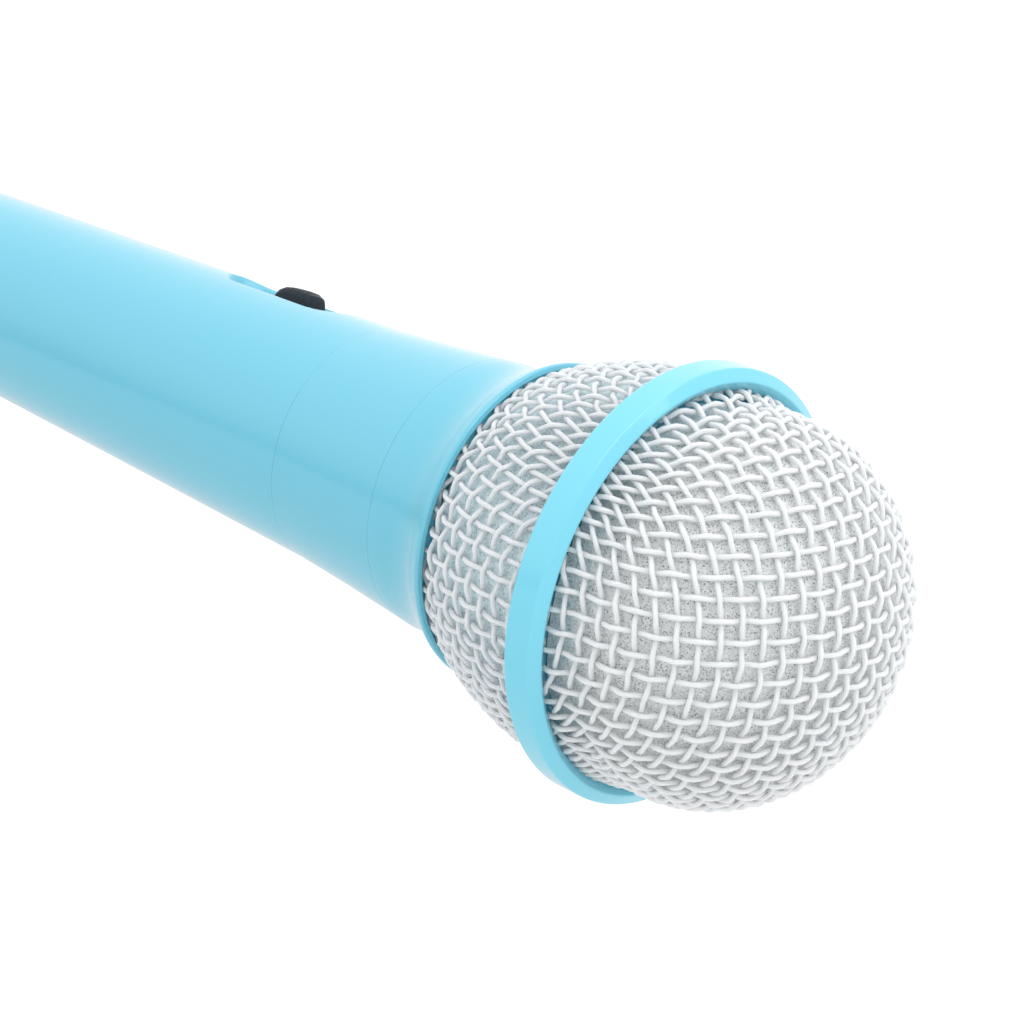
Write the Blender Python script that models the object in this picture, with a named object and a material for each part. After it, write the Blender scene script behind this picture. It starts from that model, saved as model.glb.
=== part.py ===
"""A toy karaoke microphone, standing on its tail.

The handle's axis is Z, the tail face is at Z = 0 and the slide switch faces -Y.
Sizes are in millimetres, and MM turns them into metres as the meshes are made.
Outlines of turned pieces are (radius, height) points.
"""

import math

import bmesh
import bpy
from mathutils import Vector

MM = 0.001
GAP = 0.3
OUTER_SEGMENTS = 40
INNER_SEGMENTS = 24
SMOOTH_ANGLE = math.radians(35.0)

# Whole microphone
LENGTH = 250.0
TAIL_RADIUS = 10.05
TAPER = 0.034
WALL = 2.0
BARREL_FOOT = 3.0
SEAM_Z = 169.1
COLLAR_Z = 187.8
LIP_Z = 199.3

# Grille head
RING_RADIUS = 27.0
RING_INNER = 24.25
RING_FRONT_Z = 223.0
RING_REAR_Z = 219.4
SEAT_TOP = 221.6
MESH_THICK = 1.3
DOME_RADIUS = 24.05
DOME_EQUATOR_Z = 229.6
BASKET_RADIUS = 25.6
BASKET_CENTRE_Z = 221.0
BASKET_DEPTH = 34.2
BASKET_FOOT = 198.2
FOAM_THICK = 5.0
REAR_FOAM_THICK = 3.0

# Neck and capsule
NECK_SPIGOT_RADIUS = 15.6
NECK_SPIGOT_TOP = 197.2
CAPSULE_BORE = 13.5
SHELF_Z = 190.0
CAPSULE_RADIUS = 11.5
CAPSULE_TOP = 206.5

# Slide switch, with depths measured from the axis towards -Y
SWITCH_Z = 149.3
SWITCH_TRAVEL = 3.0
RECESS_WIDTH = 8.5
RECESS_FLOOR_LENGTH = 19.9
RECESS_FLOOR_WIDTH = 6.8
RECESS_FLOOR = 12.9
FLOOR_INSIDE = 11.4
PAD_LENGTH = 24.4
PAD_HALF_WIDTH = 6.6
SCREW_SPACING = 15.4
SCREW_RADIUS = 0.85
SCREW_HEAD_RADIUS = 1.7
KNOB_LENGTH = 6.0
KNOB_WIDTH = 3.9
STEM_WIDTH = 1.5
STEM_LENGTH = 2.4
STEM_END = 14.7
FRAME_WIDTH = 6.4
FRAME_LENGTH = 12.6
FRAME_THICK = 0.6
FRAME_INSIDE = 6.4
PLATE_OUTSIDE = FLOOR_INSIDE - GAP
PLATE_INSIDE = PLATE_OUTSIDE - FRAME_THICK
PIN_SPACING = 4.0
PIN_INSIDE = 3.0

# Tail
TAIL_CHAMFER = 0.8
SOCKET_HOLE = 3.3
SOCKET_BORE = 1.8
SOCKET_RECESS = 4.7
SOCKET_LUG_Z = 18.0
BALLAST_LOW = 30.0
BALLAST_HIGH = 65.0
BALLAST_BORE = 3.0
LEAD_RADIUS = 0.6


def barrel_radius(height):
    """The handle's outer radius at a height."""
    return TAIL_RADIUS + TAPER * height


def basket_radius(height):
    """The rear basket's outer radius at a height."""
    drop = (BASKET_CENTRE_Z - height) / BASKET_DEPTH
    return BASKET_RADIUS * math.sqrt(1.0 - drop * drop)


def arc(centre, radii, start, end, steps):
    """Points of an ellipse's arc, from angle start to angle end in degrees."""
    points = []
    for step in range(steps + 1):
        angle = math.radians(start + (end - start) * step / steps)
        radius = centre[0] + radii[0] * math.cos(angle)
        points.append((max(0.0, round(radius, 6)), centre[1] + radii[1] * math.sin(angle)))
    return points


# Materials

def make_material(name, colour, roughness, metallic=0.0):
    """A Principled material of one colour."""
    material = bpy.data.materials.new(name)
    material.use_nodes = True
    shader = material.node_tree.nodes["Principled BSDF"]
    shader.inputs["Base Color"].default_value = (*colour, 1.0)
    shader.inputs["Roughness"].default_value = roughness
    shader.inputs["Metallic"].default_value = metallic
    material.diffuse_color = (*colour, 1.0)
    return material


# Mesh helpers

def add_piece(name, bm, material, location=(0.0, 0.0, 0.0)):
    """Turn a bmesh, in millimetres, into a named object."""
    bmesh.ops.recalc_face_normals(bm, faces=bm.faces)
    bmesh.ops.scale(bm, vec=(MM, MM, MM), verts=bm.verts)
    mesh = bpy.data.meshes.new(name)
    bm.to_mesh(mesh)
    bm.free()
    mesh.shade_smooth()
    mesh.set_sharp_from_angle(angle=SMOOTH_ANGLE)
    mesh.materials.append(material)
    piece = bpy.data.objects.new(name, mesh)
    piece.location = Vector(location) * MM
    bpy.context.collection.objects.link(piece)
    return piece


def spin_outline(bm, outline, segments):
    """Add the surface that a closed outline sweeps round the Z axis."""
    rings = []
    for radius, height in outline:
        if radius == 0.0:
            rings.append([bm.verts.new((0.0, 0.0, height))])
            continue
        ring = []
        for step in range(segments):
            angle = 2.0 * math.pi * step / segments
            ring.append(bm.verts.new((radius * math.cos(angle), radius * math.sin(angle), height)))
        rings.append(ring)
    for ring, next_ring in zip(rings, rings[1:] + rings[:1]):
        if len(ring) == 1 and len(next_ring) == 1:
            continue
        for step in range(segments):
            after = (step + 1) % segments
            corners = [ring[step % len(ring)], ring[after % len(ring)]]
            corners += [next_ring[after % len(next_ring)], next_ring[step % len(next_ring)]]
            bm.faces.new(list(dict.fromkeys(corners)))


def turned(name, outline, material, segments=INNER_SEGMENTS, base=0.0):
    """A piece turned from a closed outline, with its origin at height base."""
    bm = bmesh.new()
    spin_outline(bm, [(radius, height - base) for radius, height in outline], segments)
    return add_piece(name, bm, material, (0.0, 0.0, base))


def block(name, size, centre, material):
    """A rectangular block with its origin at its centre."""
    bm = bmesh.new()
    bmesh.ops.create_cube(bm, size=1.0)
    bmesh.ops.scale(bm, vec=size, verts=bm.verts)
    return add_piece(name, bm, material, centre)


def loft(bm, outlines):
    """Skin a row of matching closed outlines and cap both ends."""
    rings = [[bm.verts.new(point) for point in outline] for outline in outlines]
    for ring, next_ring in zip(rings, rings[1:]):
        for index, corner in enumerate(ring):
            after = (index + 1) % len(ring)
            bm.faces.new((corner, ring[after], next_ring[after], next_ring[index]))
    bm.faces.new(rings[0])
    bm.faces.new(rings[-1])


def strip(name, outline, width, material):
    """A bent strip: an outline of (x, z) points, as wide as width along Y."""
    bm = bmesh.new()
    sides = []
    for y in (-width / 2.0, width / 2.0):
        sides.append([(x, y, z) for x, z in outline])
    loft(bm, sides)
    return add_piece(name, bm, material)


def stadium(length, width, depth, steps=6):
    """A round-ended outline along Z, in the plane Y = -depth."""
    radius = width / 2.0
    points = []
    for end, start_angle in ((1.0, 0.0), (-1.0, 180.0)):
        for step in range(steps + 1):
            angle = math.radians(start_angle + 180.0 * step / steps)
            z = end * (length / 2.0 - radius) + radius * math.sin(angle)
            points.append((radius * math.cos(angle), -depth, z))
    return points


def cutter(piece):
    """Mark an object as a tool of a Boolean, so it is no part of the microphone."""
    piece.hide_render = True
    piece.display_type = "WIRE"
    return piece


def combine(piece, tool, operation):
    """Cut or join a piece with a tool object, by an exact Boolean."""
    modifier = piece.modifiers.new(tool.name, "BOOLEAN")
    modifier.operation = operation
    modifier.object = cutter(tool)


def round_tool(name, radius, depths, centre, material):
    """A cylinder tool along Y, between two depths below Y = 0."""
    bm = bmesh.new()
    spin_outline(bm, [(0.0, depths[0]), (radius, depths[0]), (radius, depths[1]), (0.0, depths[1])], 16)
    tool = add_piece(name, bm, material, centre)
    tool.rotation_euler = (math.radians(90.0), 0.0, 0.0)
    return tool


def smooth_route(points, steps):
    """A smooth curve through the points, by Catmull-Rom splines."""
    knots = [Vector(point) for point in points]
    knots = [2.0 * knots[0] - knots[1]] + knots + [2.0 * knots[-1] - knots[-2]]
    route = []
    for index in range(1, len(knots) - 2):
        before, here, there, beyond = knots[index - 1:index + 3]
        for step in range(steps):
            t = step / steps
            bend = 2.0 * before - 5.0 * here + 4.0 * there - beyond
            twist = 3.0 * here - before - 3.0 * there + beyond
            route.append(here + 0.5 * t * (there - before + t * (bend + t * twist)))
    route.append(knots[-2])
    return route


def lead(name, points, material):
    """An insulated wire along a smooth route."""
    route = smooth_route(points, 4)
    curve = bpy.data.curves.new(name, "CURVE")
    curve.dimensions = "3D"
    curve.bevel_depth = LEAD_RADIUS * MM
    curve.bevel_resolution = 1
    curve.use_fill_caps = True
    spline = curve.splines.new("POLY")
    spline.points.add(len(route) - 1)
    for knot, point in zip(spline.points, route):
        knot.co = (*(point * MM), 1.0)
    curve.materials.append(material)
    wire = bpy.data.objects.new(name, curve)
    bpy.context.collection.objects.link(wire)
    return wire


# Handle

def make_barrel(plastic):
    """The tapering handle, with a pad inside and a dished recess for the switch."""
    top = SEAM_Z - GAP / 2.0
    outline = [(barrel_radius(BARREL_FOOT) - WALL, BARREL_FOOT), (barrel_radius(BARREL_FOOT), BARREL_FOOT)]
    outline += [(barrel_radius(top), top), (barrel_radius(top) - WALL, top)]
    barrel = turned("handle_barrel", outline, plastic, OUTER_SEGMENTS)

    bm = bmesh.new()
    crown = [(PAD_HALF_WIDTH, 13.0), (3.5, 14.0), (0.0, 14.3), (-3.5, 14.0), (-PAD_HALF_WIDTH, 13.0)]
    section = [(-PAD_HALF_WIDTH, FLOOR_INSIDE), (PAD_HALF_WIDTH, FLOOR_INSIDE)] + crown
    ends = (-PAD_LENGTH / 2.0, PAD_LENGTH / 2.0)
    loft(bm, [[(x, -depth, z) for x, depth in section] for z in ends])
    combine(barrel, add_piece("barrel_pad", bm, plastic, (0.0, 0.0, SWITCH_Z)), "UNION")

    slope = (RECESS_WIDTH - RECESS_FLOOR_WIDTH) / (barrel_radius(SWITCH_Z) - RECESS_FLOOR)
    clear = 5.0
    bm = bmesh.new()
    floor_outline = stadium(RECESS_FLOOR_LENGTH, RECESS_FLOOR_WIDTH, RECESS_FLOOR)
    mouth_length = RECESS_FLOOR_LENGTH + slope * clear
    mouth_outline = stadium(mouth_length, RECESS_FLOOR_WIDTH + slope * clear, RECESS_FLOOR + clear)
    loft(bm, [floor_outline, mouth_outline])
    combine(barrel, add_piece("barrel_recess", bm, plastic, (0.0, 0.0, SWITCH_Z)), "DIFFERENCE")

    slot_size = (STEM_WIDTH + 2.0 * GAP, 4.0, STEM_LENGTH + SWITCH_TRAVEL + 2.0 * GAP)
    slot_centre = (0.0, -RECESS_FLOOR, SWITCH_Z)
    combine(barrel, block("barrel_slot", slot_size, slot_centre, plastic), "DIFFERENCE")
    for side in (-1.0, 1.0):
        centre = (0.0, 0.0, SWITCH_Z + side * SCREW_SPACING / 2.0)
        hole = round_tool("barrel_screw_hole", SCREW_RADIUS + GAP, (10.0, 14.5), centre, plastic)
        combine(barrel, hole, "DIFFERENCE")
    return barrel


def make_neck(plastic):
    """The flaring neck, with a spigot at each end and a shelf for the capsule."""
    low = SEAM_Z + GAP / 2.0
    high = COLLAR_Z - GAP / 2.0
    lower_spigot = 13.3
    outline = [(11.8, 163.6), (lower_spigot, 163.6), (lower_spigot, low), (15.85, low)]
    outline += [(16.55, 178.0), (17.5, high)]
    outline += [(NECK_SPIGOT_RADIUS, high), (NECK_SPIGOT_RADIUS, NECK_SPIGOT_TOP)]
    outline += [(CAPSULE_BORE, NECK_SPIGOT_TOP), (CAPSULE_BORE, SHELF_Z), (10.5, SHELF_Z)]
    outline += [(10.5, SHELF_Z - 2.0), (12.8, SHELF_Z - 2.0), (12.8, 172.0), (11.8, 170.0)]
    return turned("neck_sleeve", outline, plastic, OUTER_SEGMENTS)


def make_tail(plastic, black, metal, brass):
    """The tail cap and the lead socket that it holds."""
    flange_top = BARREL_FOOT - GAP
    spigot = barrel_radius(BARREL_FOOT) - WALL - GAP
    recess_top = 1.8
    floor = 4.0
    outline = [(SOCKET_RECESS, 0.0), (TAIL_RADIUS - TAIL_CHAMFER, 0.0), (TAIL_RADIUS, TAIL_CHAMFER)]
    outline += [(barrel_radius(flange_top), flange_top), (spigot, flange_top), (spigot, 9.0), (6.0, 9.0)]
    outline += [(6.0, floor), (SOCKET_HOLE, floor), (SOCKET_HOLE, recess_top), (SOCKET_RECESS, recess_top)]
    turned("tail_cap", outline, plastic, OUTER_SEGMENTS)

    bush = SOCKET_HOLE - GAP
    flange = SOCKET_RECESS - 0.4
    bush_top = 6.0
    outline = [(SOCKET_BORE, 0.4), (flange, 0.4), (flange, recess_top - GAP)]
    outline += [(bush, recess_top - GAP), (bush, bush_top), (SOCKET_BORE, bush_top)]
    turned("socket_bush", outline, metal)

    chamber = 3.6
    chamber_low = 9.0
    body_top = 15.0
    outline = [(SOCKET_HOLE, floor + GAP), (5.0, floor + GAP), (5.0, body_top), (chamber, body_top)]
    outline += [(chamber, chamber_low), (SOCKET_BORE, chamber_low), (SOCKET_BORE, bush_top + GAP)]
    turned("socket_body", outline + [(SOCKET_HOLE, bush_top + GAP)], black)

    for name, side, foot in (("socket_tip_spring", -1.0, 12.4), ("socket_sleeve_spring", 1.0, 9.8)):
        outline = [(2.8, 9.4), (3.2, 9.4), (3.2, SOCKET_LUG_Z), (2.8, SOCKET_LUG_Z)]
        outline += [(2.8, foot + 0.6), (1.1, foot + 0.4), (1.1, foot), (2.8, foot + 0.2)]
        strip(name, [(side * x, z) for x, z in outline], 1.6, brass)


def make_ballast(steel):
    """The bored steel slug, in the barrel's tapering bore."""
    radius = barrel_radius(BALLAST_LOW) - WALL - GAP
    chamfer = 0.8
    outline = [(BALLAST_BORE, BALLAST_LOW), (radius - chamfer, BALLAST_LOW), (radius, BALLAST_LOW + chamfer)]
    outline += [(radius, BALLAST_HIGH), (BALLAST_BORE, BALLAST_HIGH)]
    turned("ballast_weight", outline, steel)


# Switch

def make_knob(black):
    """The domed knob, with a pocket that takes the slider's stem."""
    rear = -KNOB_LENGTH / 2.0
    front = KNOB_LENGTH / 2.0
    base = RECESS_FLOOR + GAP
    crown = [(rear, 15.0), (rear + 0.8, 15.7), (-0.4, 16.15), (front - 0.6, 16.1), (front, 15.5)]
    side = [(rear, base)] + crown + [(front, base)]
    half = KNOB_WIDTH / 2.0
    shoulder = 0.6
    outlines = []
    for x, lower in ((-half, shoulder), (-half + shoulder, 0.0), (half - shoulder, 0.0), (half, shoulder)):
        outline = []
        for z, depth in side:
            outline.append((x, -(depth if depth == base else depth - lower), z))
        outlines.append(outline)
    bm = bmesh.new()
    loft(bm, outlines)
    centre = (0.0, 0.0, SWITCH_Z + SWITCH_TRAVEL / 2.0)
    knob = add_piece("switch_knob", bm, black, centre)
    pocket_size = (STEM_WIDTH + 2.0 * GAP, 4.0, STEM_LENGTH + 2.0 * GAP)
    pocket_centre = (0.0, -(STEM_END + GAP) + pocket_size[1] / 2.0, centre[2])
    combine(knob, block("knob_pocket", pocket_size, pocket_centre, black), "DIFFERENCE")
    return [knob, bpy.data.objects["knob_pocket"]]


def make_slider(nylon, brass):
    """The slider with its stem, and the brass bridge that it carries."""
    mid = SWITCH_Z + SWITCH_TRAVEL / 2.0
    top = PLATE_INSIDE - GAP
    slider = block("switch_slider", (4.6, 1.3, 6.4), (0.0, -top + 0.65, mid), nylon)
    stem_size = (STEM_WIDTH, STEM_END - top + 0.5, STEM_LENGTH)
    stem = block("slider_stem", stem_size, (0.0, -STEM_END + stem_size[1] / 2.0, mid), nylon)
    combine(slider, stem, "UNION")
    bridge = block("switch_contact", (3.0, 0.4, 5.6), (0.0, -8.4, mid), brass)
    return [slider, stem, bridge]


def make_switch_housing(steel, laminate, brass):
    """The folded steel frame, the laminate base, the terminals and the screws."""
    length = SCREW_SPACING + 4.7
    plate_mid = (PLATE_OUTSIDE + PLATE_INSIDE) / 2.0
    frame = block("switch_frame", (FRAME_WIDTH, FRAME_THICK, length), (0.0, -plate_mid, SWITCH_Z), steel)
    wall_thick = 0.5
    wall_depth = PLATE_OUTSIDE - FRAME_INSIDE - 0.1
    for side in (-1.0, 1.0):
        wall_x = side * (FRAME_WIDTH - wall_thick) / 2.0
        centre = (wall_x, -FRAME_INSIDE - wall_depth / 2.0, SWITCH_Z)
        combine(frame, block("frame_wall", (wall_thick, wall_depth, FRAME_LENGTH), centre, steel), "UNION")
    slot_size = (STEM_WIDTH + 2.0 * GAP, 4.0, STEM_LENGTH + SWITCH_TRAVEL + 2.0 * GAP)
    combine(frame, block("frame_slot", slot_size, (0.0, -plate_mid, SWITCH_Z), steel), "DIFFERENCE")

    base = block("switch_base", (4.6, 1.2, FRAME_LENGTH), (0.0, -7.0, SWITCH_Z), laminate)
    pin_length = 4.9
    for number in (1, 2, 3):
        z = SWITCH_Z + (2 - number) * PIN_SPACING
        combine(base, block("base_slot", (2.0, 3.0, 1.0), (0.0, -7.0, z), laminate), "DIFFERENCE")
        pin_centre = (0.0, -PIN_INSIDE - pin_length / 2.0, z)
        block("switch_pin_%d" % number, (1.4, pin_length, 0.4), pin_centre, brass)

    for number, side in enumerate((1.0, -1.0), start=1):
        centre = (0.0, 0.0, SWITCH_Z + side * SCREW_SPACING / 2.0)
        hole = round_tool("frame_screw_hole", SCREW_RADIUS + GAP, (9.5, 12.0), centre, steel)
        combine(frame, hole, "DIFFERENCE")
        head_low = RECESS_FLOOR + GAP
        outline = [(0.0, 9.0), (SCREW_RADIUS, 9.4), (SCREW_RADIUS, head_low), (SCREW_HEAD_RADIUS, head_low)]
        outline += [(SCREW_HEAD_RADIUS, head_low + 0.3), (1.2, head_low + 0.55), (0.0, head_low + 0.55)]
        bm = bmesh.new()
        spin_outline(bm, outline, 16)
        screw = add_piece("switch_screw_%d" % number, bm, steel, centre)
        screw.rotation_euler = (math.radians(90.0), 0.0, 0.0)


# Capsule

def make_capsule(metal, steel, magnet, plastic, film, copper, rubber, laminate):
    """The moving-coil capsule in its rubber ring."""
    foot = SHELF_Z + GAP
    wall = 0.8
    outline = [(9.4, foot), (CAPSULE_RADIUS, foot), (CAPSULE_RADIUS, CAPSULE_TOP)]
    outline += [(CAPSULE_RADIUS - wall, CAPSULE_TOP), (CAPSULE_RADIUS - wall, foot + wall)]
    outline += [(9.4, foot + wall)]
    turned("capsule_case", outline, metal)

    inner = CAPSULE_RADIUS - wall - GAP
    grid_low = CAPSULE_TOP - 0.9
    grid_high = CAPSULE_TOP - 0.1
    outline = [(0.0, grid_low), (inner, grid_low), (inner, grid_high), (0.0, grid_high)]
    grid = turned("capsule_front_grid", outline, metal)
    bm = bmesh.new()
    hole_radius = 1.2
    places = [(0.0, 0.0)]
    for step in range(6):
        angle = math.radians(60.0 * step)
        places.append((6.0 * math.cos(angle), 6.0 * math.sin(angle)))
    for x, y in places:
        drill = bmesh.ops.create_cone(bm, cap_ends=True, segments=12, radius1=hole_radius,
                                      radius2=hole_radius, depth=4.0)
        bmesh.ops.translate(bm, vec=(x, y, 0.0), verts=drill["verts"])
    combine(grid, add_piece("grid_drills", bm, metal, (0.0, 0.0, grid_low)), "DIFFERENCE")

    pot_low = foot + 2.0
    pot_top = pot_low + 7.7
    outline = [(0.0, pot_low), (8.6, pot_low), (8.6, pot_top), (7.0, pot_top), (7.0, pot_low + 1.6)]
    turned("capsule_yoke", outline + [(0.0, pot_low + 1.6)], steel)
    magnet_low = pot_low + 1.6 + GAP
    plate_low = magnet_low + 3.6 + GAP
    outline = [(0.0, magnet_low), (5.6, magnet_low), (5.6, magnet_low + 3.6), (0.0, magnet_low + 3.6)]
    turned("capsule_magnet", outline, magnet)
    turned("capsule_pole_plate", [(0.0, plate_low), (6.0, plate_low), (6.0, pot_top), (0.0, pot_top)], steel)

    rim = pot_top + 3.0
    outline = [(8.9, foot + 1.1), (10.4, foot + 1.1), (10.4, rim), (8.9, rim)]
    turned("capsule_chassis", outline, plastic)
    outline = [(6.3, pot_top - 1.6), (6.7, pot_top - 1.6), (6.7, rim), (6.3, rim)]
    turned("capsule_voice_coil", outline, copper)
    film_low = rim + GAP
    thick = 0.3
    outline = arc((0.0, film_low), (6.6, 1.5), 90.0, 0.0, 4) + [(10.3, film_low), (10.3, film_low + thick)]
    outline += arc((0.0, film_low + thick), (6.9, 1.5), 0.0, 90.0, 4)
    turned("capsule_diaphragm", outline, film)

    board_low = foot + 0.7
    outline = [(0.0, board_low), (8.5, board_low), (8.5, board_low + 1.0), (0.0, board_low + 1.0)]
    turned("capsule_terminal_board", outline, laminate)

    bore = CAPSULE_RADIUS + GAP
    body = CAPSULE_BORE - GAP
    lip_low = NECK_SPIGOT_TOP + GAP
    outline = [(bore, foot + 0.1), (body, foot + 0.1), (body, lip_low), (14.6, lip_low)]
    turned("capsule_rubber_ring", outline + [(14.6, lip_low + 1.2), (bore, lip_low + 1.2)], rubber)


# Leads

def make_leads(red, black, yellow):
    """The three insulated wires inside the handle."""
    board = SHELF_Z + 0.6
    pin_end = -PIN_INSIDE + 2.0 * GAP
    lug = SOCKET_LUG_Z + GAP + 0.1
    bore_x = 1.3
    points = [(-2.5, 3.0, board), (-3.0, 2.5, 182.0), (-2.0, 0.5, 168.0), (-0.5, 0.0, 158.0)]
    lead("capsule_lead", points + [(0.0, pin_end, SWITCH_Z + PIN_SPACING)], red)
    points = [(0.0, pin_end, SWITCH_Z), (-0.6, 0.5, 140.0), (-1.5, 1.0, 120.0), (-bore_x, 0.0, 80.0)]
    points += [(-bore_x, 0.0, 66.0), (-bore_x, 0.0, 28.0), (-3.0, 0.0, lug)]
    lead("socket_lead", points, yellow)
    points = [(2.5, 3.0, board), (3.5, 5.0, 178.0), (4.0, 5.5, 150.0), (3.0, 3.5, 115.0)]
    points += [(bore_x, 0.0, 80.0), (bore_x, 0.0, 66.0), (bore_x, 0.0, 28.0), (3.0, 0.0, lug)]
    lead("ground_lead", points, black)


# Grille head

def make_collar(plastic):
    """The collar: a low shoulder that flares into a rounded lip."""
    low = COLLAR_Z + GAP / 2.0
    bore = NECK_SPIGOT_RADIUS + GAP
    floor = BASKET_FOOT - GAP - 0.1
    outline = [(bore, low), (17.5, low), (17.65, 189.3), (17.6, 191.0), (17.75, 192.6), (18.15, 194.4)]
    outline += [(18.85, 196.1), (19.75, 197.6), (20.25, 198.4), (20.45, 199.0), (20.35, LIP_Z)]
    outline += [(19.98, LIP_Z + 0.1), (19.5, floor), (bore, floor)]
    return turned("grille_collar", outline, plastic, OUTER_SEGMENTS, COLLAR_Z)


def basket_outline(low, high, outer_inset, inner_inset, steps):
    """A band that follows the rear basket, between two insets from its outside."""
    outer = []
    inner = []
    for step in range(steps + 1):
        height = low + (high - low) * step / steps
        outer.append((basket_radius(height) - outer_inset, height))
        inner.append((basket_radius(height) - inner_inset, height))
    return outer + inner[::-1]


def make_rear_basket(mesh_metal, foam):
    """The rear mesh basket and its foam lining."""
    outline = basket_outline(BASKET_FOOT, RING_REAR_Z + 1.2, 0.0, MESH_THICK, 6)
    basket = turned("rear_basket_mesh", outline, mesh_metal, OUTER_SEGMENTS, COLLAR_Z)
    inset = MESH_THICK + 2.0 * GAP
    outline = basket_outline(BASKET_FOOT + 0.6, RING_REAR_Z - 1.6, inset, inset + REAR_FOAM_THICK, 4)
    lining = turned("rear_foam", outline, foam, OUTER_SEGMENTS, COLLAR_Z)
    return [basket, lining]


def make_ring(plastic):
    """The band round the head, and the seat ring that clamps both meshes inside it."""
    rabbet = BASKET_RADIUS + 0.6
    outline = [(rabbet, RING_REAR_Z), (RING_RADIUS - 0.1, RING_REAR_Z)]
    outline += [(RING_RADIUS, RING_REAR_Z + 0.5), (RING_RADIUS, RING_FRONT_Z)]
    outline += [(25.6, RING_FRONT_Z + 0.9), (24.9, RING_FRONT_Z + 0.2), (RING_INNER, RING_FRONT_Z - 0.8)]
    outline += [(RING_INNER, RING_REAR_Z + 1.6), (rabbet, RING_REAR_Z + 1.6)]
    ring = turned("grille_ring", outline, plastic, OUTER_SEGMENTS, COLLAR_Z)

    upstand = DOME_RADIUS - MESH_THICK - GAP
    flange = BASKET_RADIUS - MESH_THICK - 1.2 * GAP
    low = RING_REAR_Z - 1.2
    step_z = low + 0.8
    outline = [(upstand - 0.8, low), (flange, low), (flange, step_z), (upstand, step_z)]
    seat = turned("mesh_seat_ring", outline + [(upstand, SEAT_TOP), (upstand - 0.8, SEAT_TOP)], plastic,
                  OUTER_SEGMENTS, COLLAR_Z)
    return [ring, seat]


def make_dome(mesh_metal, foam):
    """The front mesh dome and the foam windscreen inside it."""
    centre = (0.0, DOME_EQUATOR_Z)
    skirt = RING_REAR_Z - 0.1
    rise = LENGTH - DOME_EQUATOR_Z
    inner = DOME_RADIUS - MESH_THICK
    outline = [(DOME_RADIUS, skirt)] + arc(centre, (DOME_RADIUS, rise), 0.0, 90.0, 8)
    outline += arc(centre, (inner, rise - MESH_THICK), 90.0, 0.0, 8) + [(inner, skirt)]
    dome = turned("front_dome_mesh", outline, mesh_metal, OUTER_SEGMENTS, COLLAR_Z)

    foot = SEAT_TOP - 0.5
    clear = SEAT_TOP + GAP
    narrow = inner - 0.8 - 3.0 * GAP
    outer = inner - GAP - 0.1
    outer_rise = rise - MESH_THICK - GAP - 0.1
    outline = [(outer - FOAM_THICK, foot), (narrow, foot), (narrow, clear), (outer - 0.05, clear)]
    outline += arc(centre, (outer, outer_rise), 0.0, 90.0, 6)
    outline += arc(centre, (outer - FOAM_THICK, outer_rise - FOAM_THICK), 90.0, 0.0, 5)
    windscreen = turned("front_foam", outline, foam, OUTER_SEGMENTS, COLLAR_Z)
    return [dome, windscreen]


def carry(name, location, pieces):
    """Parent the pieces of a moving body to an empty on its joint's axis."""
    carrier = bpy.data.objects.new(name, None)
    carrier.empty_display_size = 10.0 * MM
    carrier.location = Vector(location) * MM
    bpy.context.collection.objects.link(carrier)
    for piece in pieces:
        piece.parent = carrier
        piece.location -= carrier.location


def main():
    for leftover in list(bpy.data.objects):
        bpy.data.objects.remove(leftover)

    blue_plastic = make_material("blue_plastic", (0.26, 0.73, 0.88), 0.15)
    black_plastic = make_material("black_plastic", (0.02, 0.018, 0.017), 0.35)
    white_mesh = make_material("white_mesh", (0.86, 0.86, 0.87), 0.4)
    grey_foam = make_material("grey_foam", (0.48, 0.5, 0.5), 0.95)
    steel = make_material("steel", (0.6, 0.6, 0.6), 0.35, 1.0)
    capsule_metal = make_material("capsule_metal", (0.75, 0.75, 0.76), 0.3, 1.0)
    brass = make_material("brass", (0.75, 0.58, 0.25), 0.3, 1.0)
    copper = make_material("copper_wire", (0.7, 0.32, 0.17), 0.3, 1.0)
    magnet = make_material("magnet", (0.12, 0.12, 0.13), 0.5, 0.6)
    film = make_material("clear_film", (0.8, 0.8, 0.75), 0.1)
    rubber = make_material("black_rubber", (0.03, 0.03, 0.03), 0.8)
    nylon = make_material("white_nylon", (0.8, 0.78, 0.72), 0.5)
    laminate = make_material("brown_laminate", (0.35, 0.2, 0.1), 0.6)
    red_sleeve = make_material("red_sleeve", (0.6, 0.04, 0.03), 0.4)
    black_sleeve = make_material("black_sleeve", (0.03, 0.03, 0.03), 0.4)
    yellow_sleeve = make_material("yellow_sleeve", (0.75, 0.6, 0.08), 0.4)

    make_barrel(blue_plastic)
    make_neck(blue_plastic)
    make_tail(blue_plastic, black_plastic, capsule_metal, brass)
    make_ballast(steel)
    make_switch_housing(steel, laminate, brass)
    make_capsule(capsule_metal, steel, magnet, black_plastic, film, copper, rubber, laminate)
    make_leads(red_sleeve, black_sleeve, yellow_sleeve)

    sliding = make_knob(black_plastic) + make_slider(nylon, brass)
    carry("switch_slide_axis", (0.0, -RECESS_FLOOR, SWITCH_Z), sliding)
    head = [make_collar(blue_plastic)] + make_rear_basket(white_mesh, grey_foam)
    head += make_ring(blue_plastic) + make_dome(white_mesh, grey_foam)
    carry("head_lift_axis", (0.0, 0.0, COLLAR_Z), head)


main()
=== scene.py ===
"""The looks of a toy karaoke microphone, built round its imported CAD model.

The microphone stands on its tail at the origin, its axis is Z and its switch faces -Y.
Shapes are worked out in millimetres, and MM turns them into metres.
Outlines of turned pieces are (radius, height) or (radius, height, fillet) points.
"""

import math
from collections import namedtuple

import bmesh
import bpy
import numpy as np
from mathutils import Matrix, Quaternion, Vector


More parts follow.
